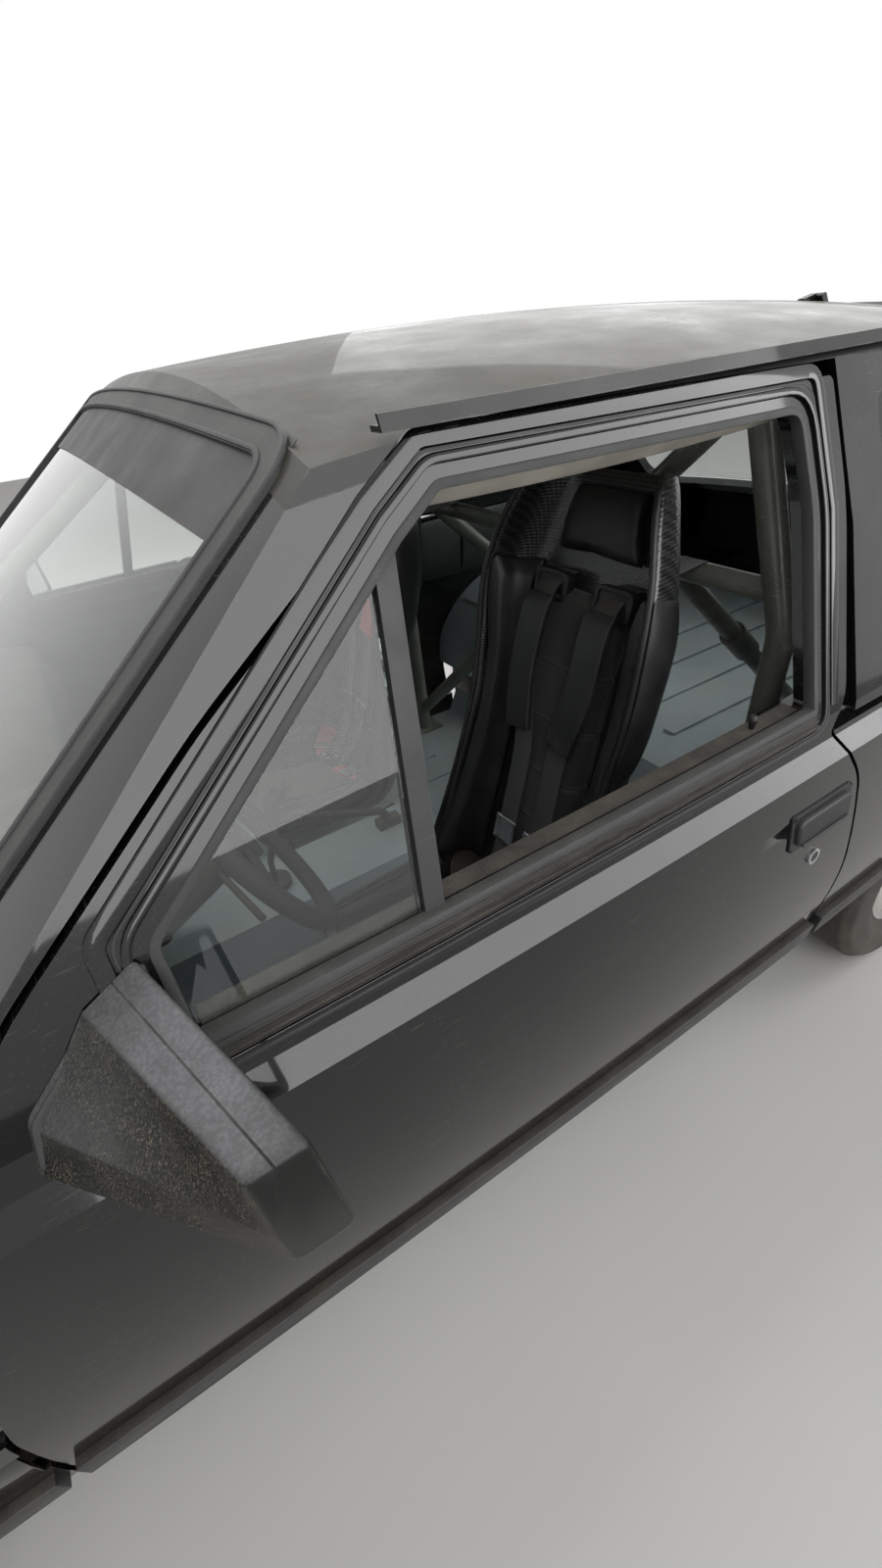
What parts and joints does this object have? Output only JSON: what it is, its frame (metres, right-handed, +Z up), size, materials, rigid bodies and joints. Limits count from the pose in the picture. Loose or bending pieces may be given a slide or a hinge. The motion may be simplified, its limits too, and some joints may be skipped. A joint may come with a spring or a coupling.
{
  "type": "rally car",
  "caption": "Prepared three-door hatchback rally car with roll cage, bucket seats, opening doors, lids, steering and rolling wheels",
  "frame": {"origin": "middle of the car on the ground, half way along its length", "axes": "+X towards the nose, +Y towards the left side of the car, +Z up"},
  "size_m": [4.23, 1.91, 1.3919],
  "materials": {
    "body_paint": "gloss black paint with road dust",
    "floor_paint": "dusty blue-grey paint",
    "bumper_plastic": "moulded black plastic",
    "lamp_lens": "clear lamp lens",
    "tail_lens": "red lamp lens",
    "glazing": "clear safety glass",
    "seal_rubber": "grey black rubber",
    "fittings_metal": "satin metal handle and lock",
    "cage_paint": "scratched olive grey paint",
    "seat_shell": "woven composite shell",
    "seat_fabric": "black upholstery",
    "mount_steel": "black painted steel",
    "webbing": "black woven webbing",
    "dash_plastic": "grained black plastic",
    "wheel_grip": "black grip",
    "column_metal": "black painted steel",
    "chassis_steel": "dark steel with road dirt",
    "engine_iron": "grey iron",
    "exhaust_steel": "dull steel",
    "tank_steel": "black painted steel",
    "rim_paint": "satin silver paint",
    "tyre": "dusty black rubber"
  },
  "bodies": {
    "body_shell": {"a_pillars": "body_paint", "bucket_seats": "seat_shell", "cabin_controls": "dash_plastic", "cage_door_bars": "cage_paint", "cage_front_hoops": "cage_paint", "cage_main_hoop": "cage_paint", "cage_rear_stays": "cage_paint", "cowl_and_firewall": "floor_paint", "dashboard": "dash_plastic", "engine_block": "engine_iron", "exhaust": "exhaust_steel", "floor_pan": "floor_paint", "front_bumper": "bumper_plastic", "front_panel": "body_paint", "front_struts": "chassis_steel", "front_subframe": "chassis_steel", "front_wings": "body_paint", "fuel_tank": "tank_steel", "grille": "bumper_plastic", "harnesses": "webbing", "headlamps": "lamp_lens", "inner_wings": "floor_paint", "quarter_panels": "body_paint", "quarter_windows": "body_paint", "rear_axle": "chassis_steel", "rear_bumper": "bumper_plastic", "rear_floor": "floor_paint", "rear_panel": "body_paint", "roof_panel": "body_paint", "seat_mounts": "mount_steel", "seat_pads": "seat_fabric", "sills": "body_paint", "steering_column": "column_metal", "tail_lamps": "tail_lens", "windscreen": "glazing", "windscreen_seal": "seal_rubber"},
    "left_door": {"door_left": "body_paint", "door_fittings_left": "fittings_metal", "door_glass_left": "glazing", "door_mirror_left": "bumper_plastic"},
    "right_door": {"door_right": "body_paint", "door_fittings_right": "fittings_metal", "door_glass_right": "glazing", "door_mirror_right": "bumper_plastic"},
    "bonnet_lid": {"bonnet": "body_paint"},
    "tailgate_lid": {"tailgate": "body_paint", "tailgate_glass": "glazing"},
    "left_knuckle": {"knuckle_left": "chassis_steel"},
    "right_knuckle": {"knuckle_right": "chassis_steel"},
    "steering_rim": {"steering_wheel": "wheel_grip"},
    "wheel_fl": {"rim_fl": "rim_paint", "tyre_fl": "tyre"},
    "wheel_fr": {"rim_fr": "rim_paint", "tyre_fr": "tyre"},
    "wheel_rl": {"rim_rl": "rim_paint", "tyre_rl": "tyre"},
    "wheel_rr": {"rim_rr": "rim_paint", "tyre_rr": "tyre"}
  },
  "joints": [
    {"name": "door_left_hinge", "type": "hinge", "parent": "body_shell", "child": "left_door", "pos_m": [0.812, 0.812, 0.6], "axis": [0, 0, -1], "range_deg": [0, 65]},
    {"name": "door_right_hinge", "type": "hinge", "parent": "body_shell", "child": "right_door", "pos_m": [0.812, -0.812, 0.6], "axis": [0, 0, 1], "range_deg": [0, 65]},
    {"name": "bonnet_hinge", "type": "hinge", "parent": "body_shell", "child": "bonnet_lid", "pos_m": [0.8005, 0, 0.904], "axis": [0, -1, 0], "range_deg": [0, 60]},
    {"name": "tailgate_hinge", "type": "hinge", "parent": "body_shell", "child": "tailgate_lid", "pos_m": [-1.062, 0, 1.361], "axis": [0, 1, 0], "range_deg": [0, 75]},
    {"name": "steer_left", "type": "hinge", "parent": "body_shell", "child": "left_knuckle", "pos_m": [1.38, 0.612, 0.29], "axis": [0, 0, 1], "range_deg": [-32, 32]},
    {"name": "steer_right", "type": "hinge", "parent": "body_shell", "child": "right_knuckle", "pos_m": [1.38, -0.612, 0.29], "axis": [0, 0, 1], "range_deg": [-32, 32]},
    {"name": "steering_wheel_turn", "type": "hinge", "parent": "body_shell", "child": "steering_rim", "pos_m": [0.336, 0.3725, 0.8], "axis": [-0.8793, 0, 0.4763], "range_deg": [-450, 450]},
    {"name": "wheel_fl_spin", "type": "hinge", "parent": "left_knuckle", "child": "wheel_fl", "pos_m": [1.38, 0.69, 0.29], "axis": [0, 1, 0], "continuous": true},
    {"name": "wheel_fr_spin", "type": "hinge", "parent": "right_knuckle", "child": "wheel_fr", "pos_m": [1.38, -0.69, 0.29], "axis": [0, 1, 0], "continuous": true},
    {"name": "wheel_rl_spin", "type": "hinge", "parent": "body_shell", "child": "wheel_rl", "pos_m": [-1.02, 0.69, 0.29], "axis": [0, 1, 0], "continuous": true},
    {"name": "wheel_rr_spin", "type": "hinge", "parent": "body_shell", "child": "wheel_rr", "pos_m": [-1.02, -0.69, 0.29], "axis": [0, 1, 0], "continuous": true}
  ],
  "couplings": [
    {"joint": "steer_right", "follows": "steer_left", "ratio": 1},
    {"joint": "steering_wheel_turn", "follows": "steer_left", "ratio": 14}
  ]
}
